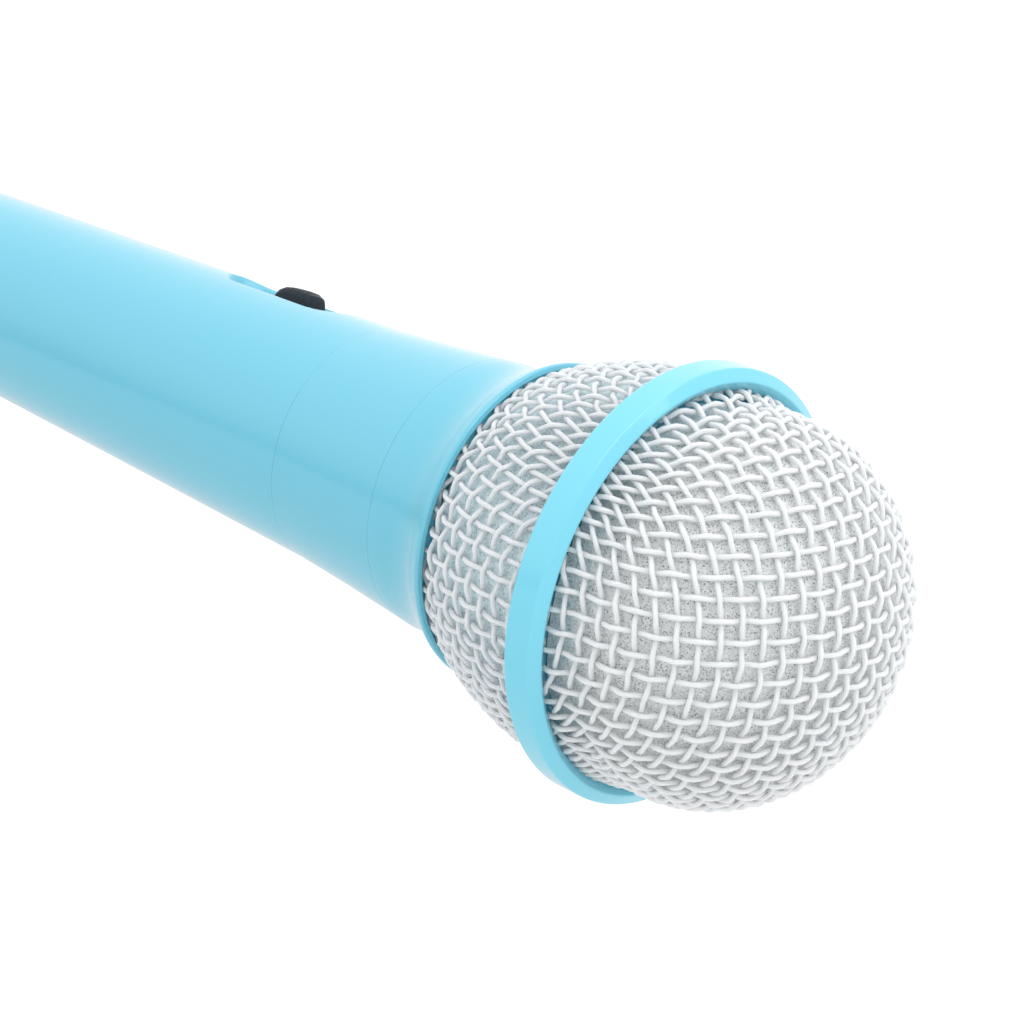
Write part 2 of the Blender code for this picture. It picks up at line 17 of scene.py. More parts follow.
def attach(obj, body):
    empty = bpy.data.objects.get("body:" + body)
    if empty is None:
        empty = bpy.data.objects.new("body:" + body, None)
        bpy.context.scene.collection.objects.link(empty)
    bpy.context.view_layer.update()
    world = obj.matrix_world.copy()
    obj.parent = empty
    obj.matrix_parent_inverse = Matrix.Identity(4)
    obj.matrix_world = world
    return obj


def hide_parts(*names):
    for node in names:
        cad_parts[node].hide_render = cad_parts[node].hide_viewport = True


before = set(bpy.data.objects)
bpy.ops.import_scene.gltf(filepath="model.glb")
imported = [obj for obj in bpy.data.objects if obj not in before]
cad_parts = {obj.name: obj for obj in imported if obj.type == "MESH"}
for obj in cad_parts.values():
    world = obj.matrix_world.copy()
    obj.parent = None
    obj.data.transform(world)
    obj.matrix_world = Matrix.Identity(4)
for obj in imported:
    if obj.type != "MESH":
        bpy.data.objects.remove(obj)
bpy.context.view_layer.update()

MM = 0.001
SMOOTH_ANGLE = math.radians(38.0)
ROUND = 160
MEDIUM_ROUND = 96
FINE_ROUND = 240
CLEARANCE = 0.3
HAIRLINE = 0.012

# Handle
TAIL_RADIUS = 10.05
TAPER = 0.034
WALL = 2.0
BARREL_FOOT = 3.0
SEAM_Z = 169.1
COLLAR_Z = 187.8

# Grille head
RING_RADIUS = 27.0
RING_INNER = 24.25
RING_REAR_Z = 219.4
RING_FRONT_Z = 223.0
SEAT_TOP = 221.6
SEAT_WALL = 0.8
MESH_THICK = 1.3
DOME_RADIUS = 24.05
DOME_EQUATOR_Z = 229.6
DOME_RISE = 20.4
DOME_FLARE = 0.7
FLARE_TOP_Z = 226.6
FLARE_FOOT_Z = 223.2
BASKET_RADIUS = 25.6
BASKET_CENTRE_Z = 221.0
BASKET_DEPTH = 34.2
BASKET_FOOT = 198.4
FOAM_THICK = 5.0
REAR_FOAM_THICK = 3.0
FOAM_CLEARANCE = 0.12

# Wires: a family of wires runs one way through the cloth of a mesh
CLOTH_STEP = 0.8
SPAN = 20.0
WIRE_STEP = 0.4
WIRE_SIDES = 8
WANDER = 0.04
COATING_LUMPS = 0.014
CROSSING_OVERLAP = 0.03
SHORTEST_WIRE = 3
Family = namedtuple("Family", "count slant offset waist bow")

# Neck and capsule
COLLAR_FOOT_RADIUS = 17.5
SPIGOT_RADIUS = 15.6
SPIGOT_TOP = 197.2
CAPSULE_BORE = 13.5
SHELF_Z = 190.0
CAPSULE_RADIUS = 11.5
CAPSULE_TOP = 206.5

# Switch, with depths measured from the axis towards -Y
SWITCH_Z = 149.3
SWITCH_TRAVEL = 3.0
RECESS_LENGTH = 19.9
RECESS_WIDTH = 6.8
RECESS_FLOOR = 12.9
RECESS_WALL_SLOPE = 2.4
RECESS_LIP_ROUND = 0.7
RECESS_WALL_REACH = 2.0
NO_DISH = 5.0
PAD_THICK = 1.5
SCREW_SPACING = 15.4
SCREW_RADIUS = 0.85
SCREW_HEAD_RADIUS = 1.7
KNOB_LENGTH = 6.0
KNOB_WIDTH = 3.9
STEM_WIDTH = 1.5
STEM_LENGTH = 2.4

# Studio, in metres. The mirrored floor greys are painted shade in the plastic's reflections: glossy
# rays see the floor that grey, though it looks pale, at distances from a line through the tail, which
# leans by the mirrored slant off the X axis.
FLOOR_HALF = 2.5
LIGHT_AIM = (0.0, 0.0, 0.2)
KEY_PLACE = (0.25, -0.9, 0.75)
KEY_SIZE = 1.2
KEY_POWER = 6.2
WORLD_STRENGTH = 1.05
PAINTED_REFLECTION_SPAN = (-0.1, 0.1)
PAINTED_REFLECTION_SLANT = 0.2
PAINTED_REFLECTION_GREYS = ((-0.06, 0.94), (0.0, 0.78), (0.042, 0.34), (0.056, 0.69))

# Camera, which keeps this distance from the middle of the ring's front
CAMERA_DISTANCE = 351.3
CAMERA_AIM_Z = 195.6
CAMERA_LEAN = math.radians(56.06)
CAMERA_AZIMUTH = math.radians(-8.5)
CAMERA_ROLL = math.radians(113.55)

# Most of a noise texture's values lie in this span
NOISE_SPREAD = (0.3, 0.7)


def barrel_radius(height):
    """The handle's outer radius at a height."""
    return TAIL_RADIUS + TAPER * height


def basket_radius(height):
    """The rear basket's outer radius at a height."""
    drop = (BASKET_CENTRE_Z - height) / BASKET_DEPTH
    return BASKET_RADIUS * math.sqrt(1.0 - drop * drop)


# Materials

def feed(tree, node, values):
    """Set a node's inputs, or link them where the value is another node's output."""
    for socket, value in values.items():
        if isinstance(value, bpy.types.NodeSocket):
            tree.links.new(value, node.inputs[socket])
        else:
            node.inputs[socket].default_value = value


def add_node(tree, kind, values, **settings):
    """A shader node, with its settings and with values or links for its inputs."""
    made = tree.nodes.new(kind)
    for setting, value in settings.items():
        setattr(made, setting, value)
    feed(tree, made, values)
    return made


def mapped(tree, source, low, high, start=0.0, end=1.0):
    """A value between start and end, rescaled from low to high."""
    scaled = add_node(tree, "ShaderNodeMapRange", {0: source, 1: start, 2: end, 3: low, 4: high})
    return scaled.outputs[0]


def combined(tree, operation, first, second):
    """The sum, product or other combination of two values."""
    return add_node(tree, "ShaderNodeMath", {0: first, 1: second}, operation=operation).outputs[0]


def mixed(tree, factor, first, second, blend="MIX"):
    """Two colours, each a triple or a node's output, mixed by a factor."""
    colours = []
    for colour in (first, second):
        colours.append(colour if isinstance(colour, bpy.types.NodeSocket) else (*colour, 1.0))
    mix = add_node(tree, "ShaderNodeMix", {"Factor": factor, 6: colours[0], 7: colours[1]},
                   data_type="RGBA", blend_type=blend)
    return mix.outputs[2]


def start_material(name):
    """A new node material: its tree, its Principled shader and its object coordinates."""
    material = bpy.data.materials.new(name)
    material.use_nodes = True
    tree = material.node_tree
    shader = tree.nodes["Principled BSDF"]
    place = tree.nodes.new("ShaderNodeTexCoord").outputs["Object"]
    return material, tree, shader, place


def noise(tree, place, scale, detail=2.0):
    """Noise with that many cells to a metre."""
    made = add_node(tree, "ShaderNodeTexNoise", {"Vector": place, "Scale": scale, "Detail": detail})
    return made.outputs[0]


def bump(tree, height, strength, distance):
    """The normal of a surface with a relief, with the relief's depth in metres."""
    relief = {"Height": height, "Strength": strength, "Distance": distance}
    return add_node(tree, "ShaderNodeBump", relief).outputs[0]


def moulded(name, colour, shade, gloss, grain, relief, metallic=0.0, shine=0.5):
    """A moulded surface: clouded colour, smudged gloss and a fine grain."""
    material, tree, shader, place = start_material(name)
    clouds = noise(tree, place, 60.0, 3.0)
    smudges = noise(tree, place, 300.0, 4.0)
    feed(tree, shader, {
        "Base Color": mixed(tree, clouds, colour, shade),
        "Roughness": mapped(tree, smudges, *gloss, *NOISE_SPREAD),
        "Normal": bump(tree, noise(tree, place, grain), relief, 0.00005),
        "Metallic": metallic,
        "Specular IOR Level": shine,
    })
    return material


def blue_plastic(name, colour, shade):
    """Glossy light-blue plastic, faintly clouded, with the ripple of a mould."""
    material, tree, shader, place = start_material(name)
    clouds = noise(tree, place, 35.0)
    smudges = noise(tree, place, 140.0, 4.0)
    ripple = noise(tree, place, 420.0)
    feed(tree, shader, {
        "Base Color": mixed(tree, clouds, colour, shade),
        "Roughness": mapped(tree, smudges, 0.12, 0.18, *NOISE_SPREAD),
        "Normal": bump(tree, ripple, 0.06, 0.0001),
        "Coat Weight": 0.4,
        "Coat Roughness": 0.05,
    })
    return material


def white_coating(name, colour, shade):
    """The white coating on the wires: thick, slightly uneven, softly glossy and milky."""
    material, tree, shader, place = start_material(name)
    clouds = noise(tree, place, 260.0, 3.0)
    beads = noise(tree, place, 2600.0)
    drips = noise(tree, place, 1100.0, 3.0)
    feed(tree, shader, {
        "Base Color": mixed(tree, clouds, colour, shade),
        "Roughness": mapped(tree, beads, 0.3, 0.46, *NOISE_SPREAD),
        "Normal": bump(tree, drips, 0.22, 0.00012),
        "Specular IOR Level": 0.35,
        "Subsurface Weight": 1.0,
        "Subsurface Radius": (1.0, 1.0, 1.0),
        "Subsurface Scale": 0.0015,
    })
    return material


def foam(name, colour, shade, hole, edge, painted_bounce_span):
    """Open-celled foam: fine mottled cells, many of them open, with painted shade in them.

    Between the two heights of its span, in metres, its colour turns to edge: painted blue
    light, which stands in for the blue that the plastic round it throws on it.
    """
    material, tree, shader, place = start_material(name)
    bend = add_node(tree, "ShaderNodeTexNoise", {"Vector": place, "Scale": 900.0, "Detail": 1.0})
    shift = add_node(tree, "ShaderNodeVectorMath", {0: bend.outputs["Color"], "Scale": 0.0005},
                     operation="SCALE").outputs[0]
    bent = add_node(tree, "ShaderNodeVectorMath", {0: place, 1: shift}, operation="ADD").outputs[0]
    cells = add_node(tree, "ShaderNodeTexVoronoi", {"Vector": bent, "Scale": 4300.0})
    closeness = mapped(tree, cells.outputs["Distance"], 1.0, 0.0, 0.12, 0.42)
    pick = add_node(tree, "ShaderNodeSeparateColor", {0: cells.outputs["Color"]}).outputs[0]
    share = combined(tree, "ADD", pick, noise(tree, place, 330.0, 1.0))
    pores = combined(tree, "MULTIPLY", closeness, mapped(tree, share, 0.0, 1.0, 0.72, 1.18))
    mottle = noise(tree, bent, 5000.0)
    grain = mixed(tree, mapped(tree, mottle, 0.0, 1.0, 0.35, 0.65), colour, shade)
    height = add_node(tree, "ShaderNodeSeparateXYZ", {0: place}).outputs[2]
    # Painted blue light: below the span the colour is multiplied by edge, as if lit by the blue plastic
    # nearby.
    bounce_tinted = mixed(tree, mapped(tree, height, 1.0, 0.0, *painted_bounce_span), grain, edge, "MULTIPLY")
    feed(tree, shader, {
        # The hole colour is painted shade: the dark inside the open cells.
        "Base Color": mixed(tree, pores, bounce_tinted, hole),
        "Normal": bump(tree, combined(tree, "SUBTRACT", mottle, pores), 0.7, 0.00025),
        "Roughness": 0.95,
        "Specular IOR Level": 0.2,
    })
    return material


def machined(name, colour, shade, gloss, pitch=0.0006):
    """Metal with the fine rings that a lathe leaves, or the lay of a drawn sheet."""
    material, tree, shader, place = start_material(name)
    lay = add_node(tree, "ShaderNodeMapping", {"Vector": place, "Scale": (60.0, 60.0, 1.0 / pitch)})
    rings = noise(tree, lay.outputs[0], 1.0, 3.0)
    feed(tree, shader, {
        "Base Color": mixed(tree, rings, colour, shade),
        "Roughness": mapped(tree, rings, *gloss, *NOISE_SPREAD),
        "Normal": bump(tree, rings, 0.15, 0.00004),
        "Metallic": 1.0,
    })
    return material


def wound_copper(name, colour, shade):
    """Enamelled copper wire in close turns."""
    material, tree, shader, place = start_material(name)
    turns = add_node(tree, "ShaderNodeTexWave", {"Vector": place, "Scale": 1600.0, "Distortion": 0.6},
                     bands_direction="Z").outputs[1]
    feed(tree, shader, {
        "Base Color": mixed(tree, turns, colour, shade),
        "Normal": bump(tree, turns, 0.8, 0.0001),
        "Metallic": 1.0,
        "Roughness": 0.28,
    })
    return material


def laminate(name, colour, shade):
    """Brown paper laminate, with its fibres."""
    material, tree, shader, place = start_material(name)
    lay = add_node(tree, "ShaderNodeMapping", {"Vector": place, "Scale": (2400.0, 300.0, 600.0)})
    fibres = noise(tree, lay.outputs[0], 1.0, 4.0)
    feed(tree, shader, {
        "Base Color": mixed(tree, fibres, colour, shade),
        "Roughness": mapped(tree, fibres, 0.45, 0.7),
        "Normal": bump(tree, fibres, 0.3, 0.00005),
    })
    return material


def make_materials():
    """Every finish, under its name. Each slot in the record has one of the same name."""
    looks = (
        ("blue_plastic", blue_plastic, (0.131, 0.488, 0.635), (0.144, 0.511, 0.658)),
        # A lighter copy of the blue plastic: painted light, because the ring catches more light than
        # the handle.
        ("lit_ring_plastic", blue_plastic, (0.164, 0.595, 0.750), (0.178, 0.615, 0.770)),
        ("white_mesh", white_coating, (0.640, 0.663, 0.68), (0.695, 0.71, 0.725)),
        # A darker copy of the white coating: painted shade, because the rear basket gets less light
        # than the dome.
        ("shaded_basket_coating", white_coating, (0.57, 0.595, 0.62), (0.615, 0.635, 0.655)),
        # The last two values of each foam are its painted blue light from the plastic and the heights,
        # in metres, over which that fades out.
        ("grey_foam", foam, (0.91, 0.935, 0.93), (0.70, 0.725, 0.725), (0.27, 0.28, 0.28),
         (0.80, 0.96, 1.0), (0.2215, 0.2290)),
        # A bluer copy of the grey foam for the lining: painted blue light from the plastic round it.
        ("blue_lit_lining_foam", foam, (0.80, 0.94, 0.97), (0.67, 0.80, 0.83), (0.24, 0.31, 0.33),
         (0.92, 0.98, 1.0), (0.199, 0.215)),
        ("black_plastic", moulded, (0.008, 0.016, 0.022), (0.016, 0.024, 0.031),
         (0.38, 0.52), 2600.0, 0.5, 0.0, 0.22),
        ("steel", machined, (0.50, 0.50, 0.52), (0.66, 0.66, 0.67), (0.24, 0.4)),
        ("capsule_metal", machined, (0.70, 0.70, 0.71), (0.82, 0.82, 0.83), (0.22, 0.34), 0.0003),
        ("brass", machined, (0.66, 0.48, 0.18), (0.84, 0.66, 0.32), (0.22, 0.36)),
        ("copper_wire", wound_copper, (0.32, 0.11, 0.05), (0.78, 0.34, 0.17)),
        ("magnet", moulded, (0.07, 0.07, 0.075), (0.14, 0.14, 0.15), (0.4, 0.6), 900.0, 0.5, 0.5),
        ("clear_film", moulded, (0.72, 0.72, 0.66), (0.82, 0.81, 0.75), (0.08, 0.16), 300.0, 0.3),
        ("black_rubber", moulded, (0.020, 0.020, 0.021), (0.040, 0.040, 0.040),
         (0.7, 0.85), 1500.0, 0.7),
        ("white_nylon", moulded, (0.74, 0.72, 0.65), (0.84, 0.82, 0.76), (0.4, 0.55), 1200.0, 0.4),
        ("brown_laminate", laminate, (0.26, 0.13, 0.06), (0.44, 0.27, 0.14)),
        ("red_sleeve", moulded, (0.50, 0.03, 0.02), (0.64, 0.05, 0.04), (0.3, 0.45), 800.0, 0.4),
        ("black_sleeve", moulded, (0.02, 0.02, 0.02), (0.04, 0.04, 0.04), (0.3, 0.45), 800.0, 0.4),
        ("yellow_sleeve", moulded, (0.68, 0.52, 0.05), (0.80, 0.64, 0.10), (0.3, 0.45), 800.0, 0.4),
    )
    return {name: make(name, *values) for name, make, *values in looks}


materials = make_materials()


# Mesh helpers

def make_mesh(name, points, faces):
    """A mesh from points in millimetres, with its faces turned outwards."""
    mesh = bpy.data.meshes.new(name)
    mesh.from_pydata([tuple(point) for point in np.asarray(points, float) * MM], [], faces)
    bm = bmesh.new()
    bm.from_mesh(mesh)
    bmesh.ops.recalc_face_normals(bm, faces=bm.faces)
    bm.to_mesh(mesh)
    bm.free()
    return mesh


def add_object(name, data):
    """An object in the scene, for a mesh, a lamp or a camera."""
    made = bpy.data.objects.new(name, data)
    bpy.context.scene.collection.objects.link(made)
    return made


def add_piece(name, points, faces, slot, body, *nodes, finish=None):
    """A piece that rides on a body and stands for CAD nodes, in its slot's finish or another."""
    mesh = make_mesh(name, points, faces)
    mesh.shade_smooth()
    mesh.set_sharp_from_angle(angle=SMOOTH_ANGLE)
    mesh.materials.append(materials[finish or slot])
    piece = add_object(name, mesh)
    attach(piece, body)
    if nodes:
        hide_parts(*nodes)
    return piece


def strip_faces(rows, columns, start=0):
    """The faces between closed rows of points, numbered row by row from a start."""
    faces = []
    for row in range(rows - 1):
        first = start + row * columns
        for column in range(columns):
            after = (column + 1) % columns
            near = (first + column, first + after)
            faces.append((*near, first + columns + after, first + columns + column))
    return faces


def fillet(outline):
    """Round the corners that carry a fillet, and hold the faces beside them flat."""
    steps = 5
    support = 0.2
    longest = 0.42
    points = []
    for index, corner in enumerate(outline):
        here = Vector(corner[:2])
        if len(corner) < 3:
            points.append(tuple(here))
            continue
        before = Vector(outline[index - 1][:2]) - here
        after = Vector(outline[(index + 1) % len(outline)][:2]) - here
        half = before.angle(after) / 2.0
        cut_back = min(corner[2] / math.tan(half), longest * before.length, longest * after.length)
        edge_in = here + before.normalized() * cut_back
        edge_out = here + after.normalized() * cut_back
        enough = 3.0 * cut_back + 2.0 * support
        if before.length > enough:
            points.append(tuple(edge_in + before.normalized() * support))
        for step in range(steps + 1):
            t = step / steps
            points.append(tuple(edge_in.lerp(here, t).lerp(here.lerp(edge_out, t), t)))
        if after.length > enough:
            points.append(tuple(edge_out + after.normalized() * support))
    return points


def turn_outline(outline, segments):
    """The points and faces of a closed outline turned round Z."""
    points = []
    rings = []
    for radius, height in outline:
        if radius < 1e-6:
            rings.append([len(points)])
            points.append((0.0, 0.0, height))
            continue
        ring = []
        for step in range(segments):
            angle = 2.0 * math.pi * step / segments
            ring.append(len(points))
            points.append((radius * math.cos(angle), radius * math.sin(angle), height))
        rings.append(ring)
    faces = []
    for ring, next_ring in zip(rings, rings[1:] + rings[:1]):
        if len(ring) == 1 and len(next_ring) == 1:
            continue
        for step in range(segments):
            after = (step + 1) % segments
            corners = [ring[step % len(ring)], ring[after % len(ring)]]
            corners += [next_ring[after % len(next_ring)], next_ring[step % len(next_ring)]]
            faces.append(list(dict.fromkeys(corners)))
    return points, faces


def turned(name, outline, slot, body, *nodes, segments=ROUND, finish=None):
    """A turned piece with rounded edges."""
    points, faces = turn_outline(fillet(outline), segments)
    return add_piece(name, points, faces, slot, body, *nodes, finish=finish)


def cut(piece, tools):
    """Cut tool meshes, given as points and faces in millimetres, out of a piece."""
    for points, faces in tools:
        tool = add_object("tool", make_mesh("tool", points, faces))
        modifier = piece.modifiers.new("cut", "BOOLEAN")
        modifier.object = tool
        modifier.solver = "EXACT"
        bpy.context.view_layer.update()
        shaped = piece.evaluated_get(bpy.context.evaluated_depsgraph_get())
        shaped = bpy.data.meshes.new_from_object(shaped)
        piece.modifiers.clear()
        piece.data = shaped
        bpy.data.objects.remove(tool)
    piece.data.set_sharp_from_angle(angle=SMOOTH_ANGLE)


def block_tool(low, high):
    """A box between two corners, as points and faces."""
    xs, ys, zs = zip(low, high)
    points = [(x, y, z) for z in zs for y in ys for x in xs]
    faces = [(0, 1, 3, 2), (4, 5, 7, 6), (0, 1, 5, 4), (2, 3, 7, 6), (0, 2, 6, 4), (1, 3, 7, 5)]
    return points, faces


def drill_tool(radius, low, high, centre, along_y=False):
    """A drill between two distances along Z or -Y, as points and faces."""
    points, faces = turn_outline([(0.0, low), (radius, low), (radius, high), (0.0, high)], 32)
    if along_y:
        points = [(x, -z, y) for x, y, z in points]
    return np.array(points) + np.array(centre), faces


# Handle

def smooth_min(first, second, blend):
    """The smaller of two arrays, rounded where they cross."""
    share = np.clip(0.5 + 0.5 * (second - first) / blend, 0.0, 1.0)
    return second * (1.0 - share) + first * share - blend * share * (1.0 - share)


def barrel_depth(across, height):
    """How far from the axis, towards -Y, the handle's outside lies once the recess is in it."""
    surface = np.sqrt(np.maximum(barrel_radius(height) ** 2 - across ** 2, 0.0))
    radius = RECESS_WIDTH / 2.0
    reach = np.maximum(np.abs(height - SWITCH_Z) - (RECESS_LENGTH / 2.0 - radius), 0.0)
    outside = np.hypot(across, reach) - radius
    dish = RECESS_FLOOR + RECESS_WALL_SLOPE * np.maximum(outside, 0.0)
    dish = np.where(outside > RECESS_WALL_REACH, surface + NO_DISH, dish)
    return smooth_min(surface, dish, RECESS_LIP_ROUND)


def make_barrel():
    """The tapering handle, with its dished recess, the stem's slot and the screws' holes."""
    top = SEAM_Z - HAIRLINE
    chamfer = 0.1
    fine_turn = 36.0
    fine_reach = 15.0
    fine_side = 8.0
    coarse = 2.0
    front_angles = np.arange(-fine_turn, fine_turn + 0.01, 0.9)
    rear_angles = np.arange(fine_turn + coarse, 360.0 - fine_turn - coarse + 0.1, coarse)
    angles = np.radians(np.concatenate([front_angles, rear_angles])) - math.pi / 2.0
    dense = np.arange(SWITCH_Z - fine_reach, SWITCH_Z + fine_reach + 0.01, 0.3)
    low = np.arange(8.0, dense[0], 6.0)
    high = np.arange(dense[-1] + 1.0, top - 0.6, 1.2)
    foot_rows = [BARREL_FOOT, BARREL_FOOT + chamfer, BARREL_FOOT + 0.4]
    top_rows = [top - 0.4, top - chamfer, top]
    heights = np.concatenate([foot_rows, low, dense, high, top_rows])
    rows = len(heights)
    columns = len(angles)
    edge = np.zeros((rows, 1))
    edge[[0, -1]] = chamfer
    angle, height = np.meshgrid(angles, heights)
    walls = []
    for outer in (True, False):
        radius = barrel_radius(height) - (edge if outer else WALL - edge)
        x = radius * np.cos(angle)
        y = radius * np.sin(angle)
        deep = barrel_depth(x, height) - (0.0 if outer else PAD_THICK)
        front = (y < 0.0) & (np.abs(height - SWITCH_Z) < fine_reach) & (np.abs(x) < fine_side)
        y = np.where(front, np.maximum(y, -deep), y)
        walls.append(np.stack([x, y, height], axis=-1).reshape(-1, 3))
    inner = rows * columns
    faces = strip_faces(rows, columns) + strip_faces(rows, columns, inner)
    for first in (0, (rows - 1) * columns):
        for column in range(columns):
            after = (column + 1) % columns
            near = (first + column, first + after)
            faces.append((*near, inner + first + after, inner + first + column))
    points = np.concatenate(walls)
    barrel = add_piece("barrel_shell", points, faces, "blue_plastic", "handle", "handle_barrel")
    slot_x = STEM_WIDTH / 2.0 + CLEARANCE
    slot_z = (STEM_LENGTH + SWITCH_TRAVEL) / 2.0 + CLEARANCE
    tools = [block_tool((-slot_x, -14.6, SWITCH_Z - slot_z), (slot_x, -9.0, SWITCH_Z + slot_z))]
    for side in (-1.0, 1.0):
        centre = (0.0, 0.0, SWITCH_Z + side * SCREW_SPACING / 2.0)
        tools.append(drill_tool(SCREW_RADIUS + CLEARANCE, 10.0, 14.5, centre, along_y=True))
    cut(barrel, tools)


def make_neck():
    """The flaring neck."""
    low = SEAM_Z + HAIRLINE
    high = COLLAR_Z - HAIRLINE
    tongue_foot = 163.6
    tongue = 13.3
    bore = 11.8
    passage = 12.8
    shelf_bore = 10.5
    shelf_foot = SHELF_Z - 2.0
    outline = [(bore, tongue_foot, 0.2), (tongue, tongue_foot, 0.3), (tongue, low, 0.2)]
    outline += [(15.85, low, 0.04), (16.18, 173.5), (16.55, 178.0), (17.02, 182.9)]
    outline += [(COLLAR_FOOT_RADIUS, high, 0.04), (SPIGOT_RADIUS, high, 0.2)]
    outline += [(SPIGOT_RADIUS, SPIGOT_TOP, 0.4), (CAPSULE_BORE, SPIGOT_TOP, 0.3)]
    outline += [(CAPSULE_BORE, SHELF_Z, 0.2), (shelf_bore, SHELF_Z, 0.2)]
    outline += [(shelf_bore, shelf_foot, 0.2), (passage, shelf_foot, 0.3)]
    outline += [(passage, 172.0), (bore, 170.0)]
    turned("neck_shell", outline, "blue_plastic", "handle", "neck_sleeve")


def make_thread():
    """The thread that the grille head screws on, which fades out at both ends."""
    pitch = 2.2
    turns = 3.2
    foot = COLLAR_Z + 1.6
    steps = int(turns * MEDIUM_ROUND)
    fading = 12.0
    section = [(-0.3, -0.45), (-0.3, 0.45), (0.22, 0.12), (0.22, -0.12)]
    points = []
    for step in range(steps + 1):
        share = step / steps
        fade = min(1.0, fading * share, fading * (1.0 - share))
        angle = 2.0 * math.pi * turns * share
        height = foot + pitch * turns * share
        for out, up in section:
            radius = SPIGOT_RADIUS + (out * fade if out > 0.0 else out)
            points.append((radius * math.cos(angle), radius * math.sin(angle), height + up * fade))
    sides = len(section)
    faces = [list(range(sides)), list(range(steps * sides, (steps + 1) * sides))]
    faces += strip_faces(steps + 1, sides)
    add_piece("neck_thread", points, faces, "blue_plastic", "handle")


def make_tail():
    """The tail cap and the mouth of the lead socket."""
    flange_top = BARREL_FOOT - 2.0 * HAIRLINE
    spigot = barrel_radius(BARREL_FOOT) - WALL - CLEARANCE
    spigot_top = 9.0
    seat = 4.7
    seat_depth = 1.8
    bore = 3.3
    inside = 6.0
    floor = 4.0
    outline = [(seat, 0.0, 0.2), (TAIL_RADIUS - 0.8, 0.0, 0.5), (TAIL_RADIUS, 0.8, 0.5)]
    outline += [(barrel_radius(flange_top), flange_top, 0.08), (spigot, flange_top, 0.1)]
    outline += [(spigot, spigot_top, 0.4), (inside, spigot_top, 0.2), (inside, floor)]
    outline += [(bore, floor), (bore, seat_depth, 0.1), (seat, seat_depth, 0.3)]
    turned("tail_shell", outline, "blue_plastic", "handle", "tail_cap")
    hole = 1.8
    flange = 4.3
    shank = 3.0
    outline = [(hole, 0.4, 0.3), (flange, 0.4, 0.2), (flange, 1.5, 0.1), (shank, 1.5)]
    outline += [(shank, 6.0, 0.1), (hole, 6.0)]
    turned("socket_mouth", outline, "steel", "handle", "socket_bush", segments=MEDIUM_ROUND)


# Switch

def make_knob():
    """The slide knob: a domed cap, with rounded shoulders and a few fine grip ribs."""
    centre_z = SWITCH_Z + SWITCH_TRAVEL / 2.0
    half_length = KNOB_LENGTH / 2.0
    half_width = KNOB_WIDTH / 2.0
    base = RECESS_FLOOR + CLEARANCE
    crown_z = [-half_length, -2.7, -2.05, -0.95, 0.55, 1.9, 2.7, half_length]
    crown_depth = [15.0, 15.45, 15.83, 16.08, 16.22, 16.22, 15.98, 15.5]
    rib_pitch = 0.62
    rib_height = 0.06
    rib_reach = 2.2
    lengths = np.linspace(-half_length, half_length, 121)
    widths = np.sin(np.linspace(-math.pi / 2.0, math.pi / 2.0, 33)) * half_width
    rows = []
    for along in lengths:
        crown = np.interp(along, crown_z, crown_depth)
        ends = 1.0 - (abs(along) / half_length) ** 14 * 0.055
        ribs = 0.0
        if abs(along) < rib_reach:
            ribs = rib_height * max(0.0, math.cos(2.0 * math.pi * along / rib_pitch))
        row = []
        for across in widths:
            share = abs(across) / half_width
            shoulder = 0.8 * share ** 6 + 0.08 * share ** 2
            flat = max(0.0, 1.0 - share ** 8)
            row.append((across * ends, -(crown - shoulder + ribs * flat), centre_z + along))
        rows.append(row)
    points = [point for row in rows for point in row]
    top_count = len(points)
    points += [(x, -base, z) for x, _, z in points]
    columns = len(widths)
    last = len(lengths) - 1
    faces = []
    for row in range(last):
        for column in range(columns - 1):
            first = row * columns + column
            quad = (first, first + 1, first + columns + 1, first + columns)
            faces.append(quad)
            faces.append(tuple(corner + top_count for corner in quad))
    rim = [(0, column) for column in range(columns)]
    rim += [(row, columns - 1) for row in range(1, last + 1)]
    rim += [(last, column) for column in range(columns - 2, -1, -1)]
    rim += [(row, 0) for row in range(last - 1, 0, -1)]
    loop = [row * columns + column for row, column in rim]
    for here, there in zip(loop, loop[1:] + loop[:1]):
        faces.append((here, there, there + top_count, here + top_count))
    knob = add_piece("switch_cap", points, faces, "black_plastic", "switch", "switch_knob")
    pocket_x = STEM_WIDTH / 2.0 + CLEARANCE
    pocket_z = STEM_LENGTH / 2.0 + CLEARANCE
    pocket_low = (-pocket_x, -15.0, centre_z - pocket_z)
    pocket_high = (pocket_x, -12.0, centre_z + pocket_z)
    cut(knob, [block_tool(pocket_low, pocket_high)])


def make_screws():
    """The two screws in the recess, with cross slots."""
    head_low = RECESS_FLOOR + CLEARANCE
    head_rim = head_low + 0.28
    head_top = head_low + 0.55
    slot_length = 1.15
    slot_width = 0.22
    slot_depth = 0.48
    outline = [(0.0, 9.0), (SCREW_RADIUS, 9.4), (SCREW_RADIUS, head_low)]
    outline += [(SCREW_HEAD_RADIUS, head_low, 0.1), (SCREW_HEAD_RADIUS, head_rim, 0.2)]
    outline += [(1.1, head_top, 0.3), (0.0, head_top)]
    for number, side in enumerate((1.0, -1.0), start=1):
        centre_z = SWITCH_Z + side * SCREW_SPACING / 2.0
        points, faces = turn_outline(fillet(outline), segments=48)
        points = [(x, -z, y + centre_z) for x, y, z in points]
        node = "switch_screw_%d" % number
        screw = add_piece("recess_screw_%d" % number, points, faces, "steel", "handle", node)
        slots = []
        for half_x, half_z in ((slot_length, slot_width), (slot_width, slot_length)):
            low = (-half_x, -head_top - 0.5, centre_z - half_z)
            slots.append(block_tool(low, (half_x, -head_top + slot_depth, centre_z + half_z)))
        cut(screw, slots)


# Capsule

